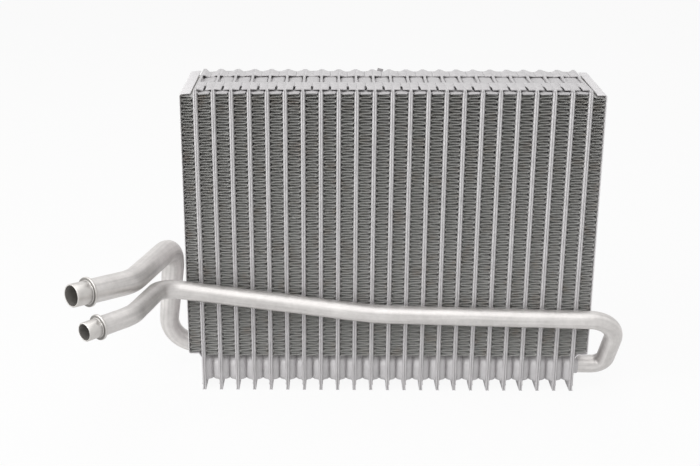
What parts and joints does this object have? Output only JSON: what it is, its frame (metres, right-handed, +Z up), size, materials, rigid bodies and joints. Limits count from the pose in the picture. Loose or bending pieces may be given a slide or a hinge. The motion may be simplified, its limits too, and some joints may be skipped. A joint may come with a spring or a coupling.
{
  "type": "air conditioning evaporator",
  "caption": "Vehicle air conditioning evaporator: upright core of brazed aluminium plates and corrugated fins, header cups below and bent pipes with plug ends.",
  "frame": {"origin": "on the standing surface, under the middle of the core", "axes": "+X along the row of plates, to the right as pictured; +Y from the front of the core to the back; +Z up"},
  "size_m": [0.3635, 0.1688, 0.2126],
  "materials": {
    "tube_plates": "brazed mill finish, satin",
    "fins": "matt, dark between the folds",
    "side_plates": "brazed mill finish, satin",
    "pipes": "matt, finely blasted",
    "unions": "brazed, satin"
  },
  "bodies": {
    "root": {"tube_01": "tube_plates", "tube_02": "tube_plates", "tube_03": "tube_plates", "tube_04": "tube_plates", "tube_05": "tube_plates", "tube_06": "tube_plates", "tube_07": "tube_plates", "tube_08": "tube_plates", "tube_09": "tube_plates", "tube_10": "tube_plates", "tube_11": "tube_plates", "tube_12": "tube_plates", "tube_13": "tube_plates", "tube_14": "tube_plates", "tube_15": "tube_plates", "tube_16": "tube_plates", "tube_17": "tube_plates", "tube_18": "tube_plates", "tube_19": "tube_plates", "tube_20": "tube_plates", "tube_21": "tube_plates", "tube_22": "tube_plates", "tube_23": "tube_plates", "fin_01": "fins", "fin_02": "fins", "fin_03": "fins", "fin_04": "fins", "fin_05": "fins", "fin_06": "fins", "fin_07": "fins", "fin_08": "fins", "fin_09": "fins", "fin_10": "fins", "fin_11": "fins", "fin_12": "fins", "fin_13": "fins", "fin_14": "fins", "fin_15": "fins", "fin_16": "fins", "fin_17": "fins", "fin_18": "fins", "fin_19": "fins", "fin_20": "fins", "fin_21": "fins", "fin_22": "fins", "fin_23": "fins", "fin_24": "fins", "side_plate_left": "side_plates", "side_plate_right": "side_plates", "suction_pipe": "pipes", "liquid_pipe": "pipes", "suction_union": "unions", "liquid_union": "unions"}
  },
  "joints": []
}
